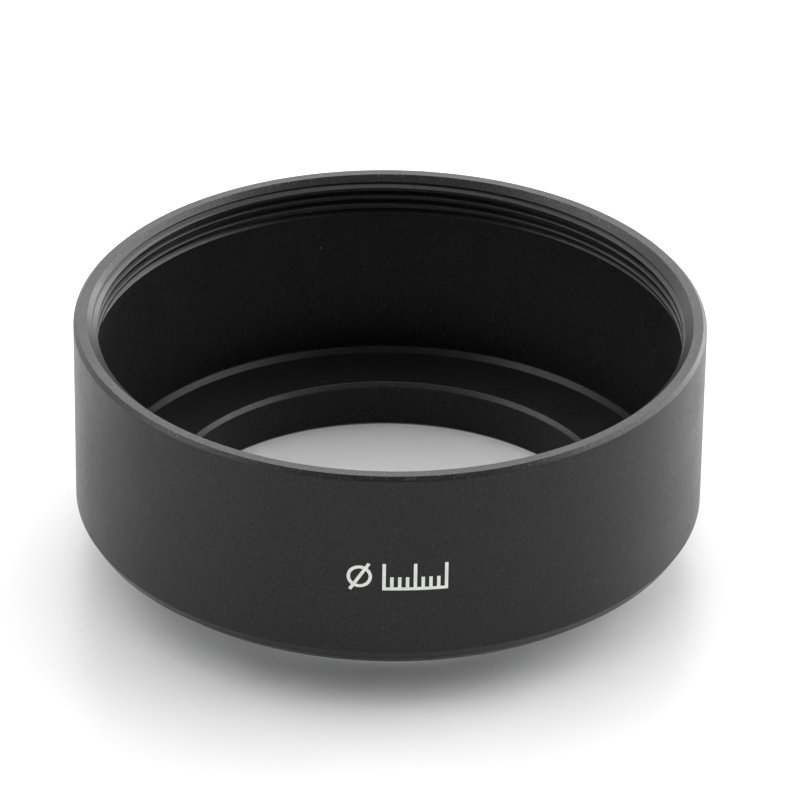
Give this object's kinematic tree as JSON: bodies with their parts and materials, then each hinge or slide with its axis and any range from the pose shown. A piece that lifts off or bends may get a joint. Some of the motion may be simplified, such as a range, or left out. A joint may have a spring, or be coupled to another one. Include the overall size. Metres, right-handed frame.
{
  "type": "lens hood",
  "caption": "Short cylindrical screw-in lens hood of black anodised aluminium, with a female filter thread in its mouth and a smaller male filter thread at its rear.",
  "frame": {"origin": "centre of the rear thread's end face, on the optical axis, where the hood stands on a table", "axes": "+Z along the optical axis from the lens to the hood's open mouth; -Y towards the engraved mark; +X to the right of someone who faces the mark"},
  "size_m": [0.049, 0.049, 0.02],
  "materials": {
    "anodised_aluminium": "satin black anodised over a finely blasted, turned surface",
    "mark_paint": "white paint infill, matt"
  },
  "bodies": {
    "root": {"shade_barrel": "anodised_aluminium", "mount_ring": "anodised_aluminium", "mark_size_sign": "mark_paint", "mark_tick_scale": "mark_paint"}
  },
  "joints": []
}
